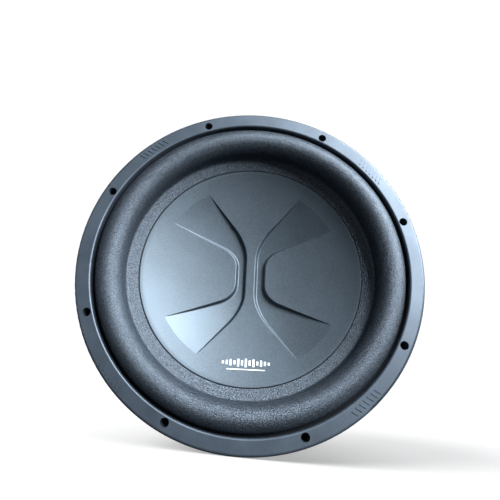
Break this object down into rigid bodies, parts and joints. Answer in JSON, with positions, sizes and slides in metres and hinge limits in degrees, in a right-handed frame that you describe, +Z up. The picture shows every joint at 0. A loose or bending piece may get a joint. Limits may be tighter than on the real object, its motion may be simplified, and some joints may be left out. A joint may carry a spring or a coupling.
{
  "type": "car subwoofer driver",
  "caption": "Large round car subwoofer driver with a foam surround, concave patterned cone, stamped basket, ferrite magnet and push terminals.",
  "frame": {"origin": "centre of the mounting hole circle in the flange's rear face, the baffle plane", "axes": "the driver's axis is Y and its front faces -Y; +Z is up; +Y points into the enclosure"},
  "size_m": [0.315, 0.1638, 0.315],
  "materials": {
    "black_steel": "satin black powder coat",
    "ring_plastic": "satin dark grey-blue",
    "surround_foam": "fine speckled foam",
    "dish_plastic": "satin grey",
    "cone_paper": "pressed paper pulp",
    "former_aluminium": "bare",
    "copper_wire": "enamelled wire",
    "tinned_copper": "tinned",
    "spider_cloth": "treated cloth",
    "plated_steel": "black zinc",
    "ferrite": "ground ferrite",
    "ring_aluminium": "turned",
    "screen_metal": "black",
    "boot_rubber": "satin black",
    "screw_steel": "black oxide",
    "terminal_plastic": "moulded black",
    "contact_brass": "tinned",
    "rivet_aluminium": "bare",
    "button_red": "gloss red",
    "button_black": "gloss black",
    "spring_steel": "bright",
    "lead_braid": "braided tinsel"
  },
  "bodies": {
    "driver_frame": {"basket": "black_steel", "trim_ring": "ring_plastic", "surround": "surround_foam", "spider": "spider_cloth", "top_plate": "plated_steel", "yoke": "plated_steel", "magnet_front": "ferrite", "magnet_rear": "ferrite", "shorting_ring": "ring_aluminium", "pole_vent_screen": "screen_metal", "magnet_boot": "boot_rubber", "motor_screws": "screw_steel", "terminal_base_right": "terminal_plastic", "terminal_contacts_right": "contact_brass", "terminal_rivets_right": "rivet_aluminium", "button_spring_red_right": "spring_steel", "lead_red_right": "lead_braid", "button_spring_black_right": "spring_steel", "lead_black_right": "lead_braid", "terminal_base_left": "terminal_plastic", "terminal_contacts_left": "contact_brass", "terminal_rivets_left": "rivet_aluminium", "button_spring_red_left": "spring_steel", "lead_red_left": "lead_braid", "button_spring_black_left": "spring_steel", "lead_black_left": "lead_braid"},
    "cone_assembly": {"dish_cone": "dish_plastic", "cone_body": "cone_paper", "voice_coil_former": "former_aluminium", "voice_coil_windings": "copper_wire", "coil_solder_tabs": "tinned_copper"},
    "pressed_red_right": {"button_red_right": "button_red"},
    "pressed_black_right": {"button_black_right": "button_black"},
    "pressed_red_left": {"button_red_left": "button_red"},
    "pressed_black_left": {"button_black_left": "button_black"}
  },
  "joints": [
    {"name": "cone_travel", "type": "slide", "parent": "driver_frame", "child": "cone_assembly", "axis": [0, -1, 0], "range_m": [-0.016, 0.016], "stiffness_N_per_m": 5000, "deforming": ["surround", "spider", "lead_red_right", "lead_red_left", "lead_black_right", "lead_black_left"]},
    {"name": "press_red_right", "type": "slide", "parent": "driver_frame", "child": "pressed_red_right", "axis": [-1, 0, 0], "range_m": [0, 0.004], "stiffness_N_per_m": 500, "springref_m": -0.002, "deforming": ["button_spring_red_right"]},
    {"name": "press_black_right", "type": "slide", "parent": "driver_frame", "child": "pressed_black_right", "axis": [-1, 0, 0], "range_m": [0, 0.004], "stiffness_N_per_m": 500, "springref_m": -0.002, "deforming": ["button_spring_black_right"]},
    {"name": "press_red_left", "type": "slide", "parent": "driver_frame", "child": "pressed_red_left", "axis": [1, 0, 0], "range_m": [0, 0.004], "stiffness_N_per_m": 500, "springref_m": -0.002, "deforming": ["button_spring_red_left"]},
    {"name": "press_black_left", "type": "slide", "parent": "driver_frame", "child": "pressed_black_left", "axis": [1, 0, 0], "range_m": [0, 0.004], "stiffness_N_per_m": 500, "springref_m": -0.002, "deforming": ["button_spring_black_left"]}
  ]
}
